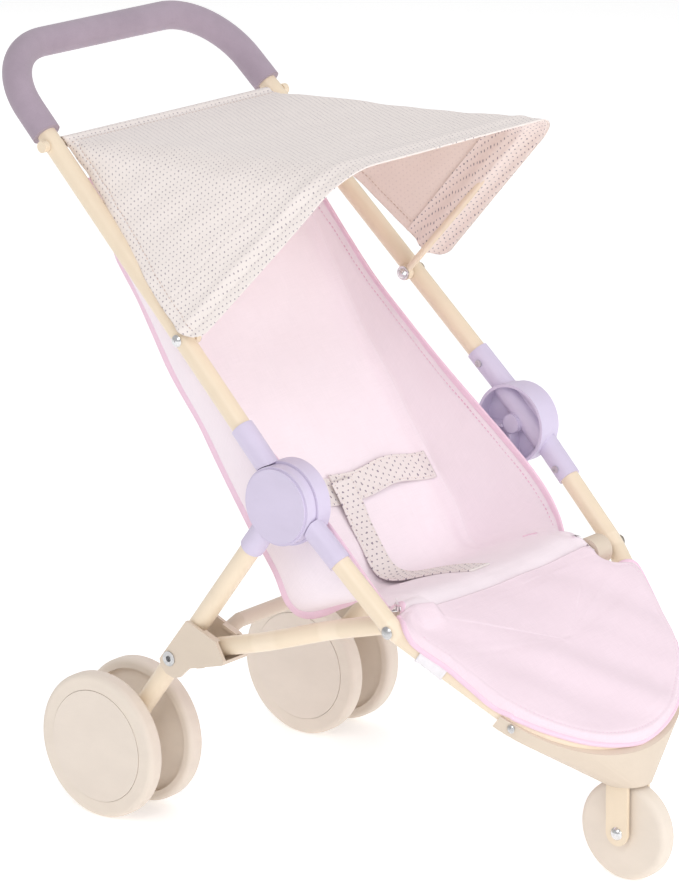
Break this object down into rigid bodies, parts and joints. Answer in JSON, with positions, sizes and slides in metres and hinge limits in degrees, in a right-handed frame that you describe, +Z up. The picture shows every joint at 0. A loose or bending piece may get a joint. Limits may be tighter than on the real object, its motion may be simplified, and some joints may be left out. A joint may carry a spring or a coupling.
{
  "type": "doll stroller",
  "caption": "Folding doll stroller: bent tube frame with foam handle, sling seat with harness, footrest, fold-back canopy, round hubs, paired rear wheels and a fixed front wheel.",
  "frame": {"origin": "on the floor, under the middle of the stroller", "axes": "+Z up, -Y the way the child faces, +X the child's left; left and right halves mirror about X = 0"},
  "size_m": [0.2748, 0.5019, 0.5338],
  "materials": {
    "tube_paint": "satin powder coat, cream",
    "grip_foam": "matte closed-cell foam, mauve grey",
    "hub_plastic": "satin moulded, pale lilac",
    "wheel": "matte moulded, beige",
    "wheel_cap": "smooth satin, beige",
    "beige_plastic": "satin moulded, beige",
    "steel": "zinc plated",
    "seat_cloth": "plain woven cotton, pale pink",
    "canopy_cloth": "plain woven cotton, off-white with small grey dots",
    "webbing": "woven cotton webbing, off-white"
  },
  "bodies": {
    "main_frame": {"handle_tube": "tube_paint", "handle_grip": "grip_foam", "front_tube": "tube_paint", "hub_right": "hub_plastic", "hub_left": "hub_plastic", "hub_pins": "steel", "socket_rivets": "steel", "frame_pivots": "steel", "nose_housing": "beige_plastic", "nose_rivets": "steel", "fork": "tube_paint", "fork_cheeks": "beige_plastic", "front_axle": "steel", "canopy_bolts": "steel", "canopy_rod": "tube_paint", "canopy_clips": "tube_paint", "seat_fabric": "seat_cloth", "footrest_fabric": "seat_cloth", "footrest_loops": "webbing", "waist_strap_right": "webbing", "waist_strap_left": "webbing", "crotch_strap": "webbing"},
    "rear_legs": {"leg_hub_right": "hub_plastic", "leg_hub_left": "hub_plastic", "leg_right": "tube_paint", "leg_left": "tube_paint", "axle_right": "steel", "axle_left": "steel"},
    "brackets": {"bracket_right": "beige_plastic", "bracket_left": "beige_plastic", "bracket_eyelets": "steel", "knee_pins": "steel", "cross_bar": "tube_paint", "cross_bar_screws": "steel"},
    "braces": {"brace_right": "tube_paint", "brace_left": "tube_paint", "brace_end_right": "beige_plastic", "brace_end_left": "beige_plastic", "brace_eyelets": "steel"},
    "canopy": {"canopy_bow": "tube_paint", "canopy_fabric": "canopy_cloth"},
    "front_wheel": {"front_wheel": "wheel"},
    "rear_wheel_right_outer": {"wheel_right_outer": "wheel", "cap_right_outer": "wheel_cap"},
    "rear_wheel_right_inner": {"wheel_right_inner": "wheel", "cap_right_inner": "wheel_cap"},
    "rear_wheel_left_outer": {"wheel_left_outer": "wheel", "cap_left_outer": "wheel_cap"},
    "rear_wheel_left_inner": {"wheel_left_inner": "wheel", "cap_left_inner": "wheel_cap"}
  },
  "joints": [
    {"name": "rear_leg_fold", "type": "hinge", "parent": "main_frame", "child": "rear_legs", "pos_m": [0, -0.0297, 0.2564], "axis": [-1, 0, 0], "range_deg": [0, 18]},
    {"name": "bracket_fold", "type": "hinge", "parent": "rear_legs", "child": "brackets", "pos_m": [0, 0.0737, 0.1282], "axis": [1, 0, 0], "range_deg": [0, 98]},
    {"name": "brace_fold", "type": "hinge", "parent": "brackets", "child": "braces", "pos_m": [0, 0.0462, 0.1385], "axis": [-1, 0, 0], "range_deg": [0, 103.7]},
    {"name": "canopy_fold", "type": "hinge", "parent": "main_frame", "child": "canopy", "pos_m": [0, 0.06107, 0.3525], "axis": [-1, 0, 0], "range_deg": [0, 60], "deforming": ["canopy_fabric"]},
    {"name": "front_wheel_spin", "type": "hinge", "parent": "main_frame", "child": "front_wheel", "pos_m": [0, -0.2164, 0.0346], "axis": [1, 0, 0], "continuous": true},
    {"name": "wheel_right_outer_spin", "type": "hinge", "parent": "rear_legs", "child": "rear_wheel_right_outer", "pos_m": [-0.1292, 0.1392, 0.052], "axis": [1, 0, 0], "continuous": true},
    {"name": "wheel_right_inner_spin", "type": "hinge", "parent": "rear_legs", "child": "rear_wheel_right_inner", "pos_m": [-0.0877, 0.1392, 0.052], "axis": [1, 0, 0], "continuous": true},
    {"name": "wheel_left_outer_spin", "type": "hinge", "parent": "rear_legs", "child": "rear_wheel_left_outer", "pos_m": [0.1292, 0.1392, 0.052], "axis": [1, 0, 0], "continuous": true},
    {"name": "wheel_left_inner_spin", "type": "hinge", "parent": "rear_legs", "child": "rear_wheel_left_inner", "pos_m": [0.0877, 0.1392, 0.052], "axis": [1, 0, 0], "continuous": true}
  ],
  "couplings": [
    {"joint": "bracket_fold", "follows": "rear_leg_fold", "ratio": 5.4316},
    {"joint": "brace_fold", "follows": "rear_leg_fold", "ratio": 5.7513}
  ]
}
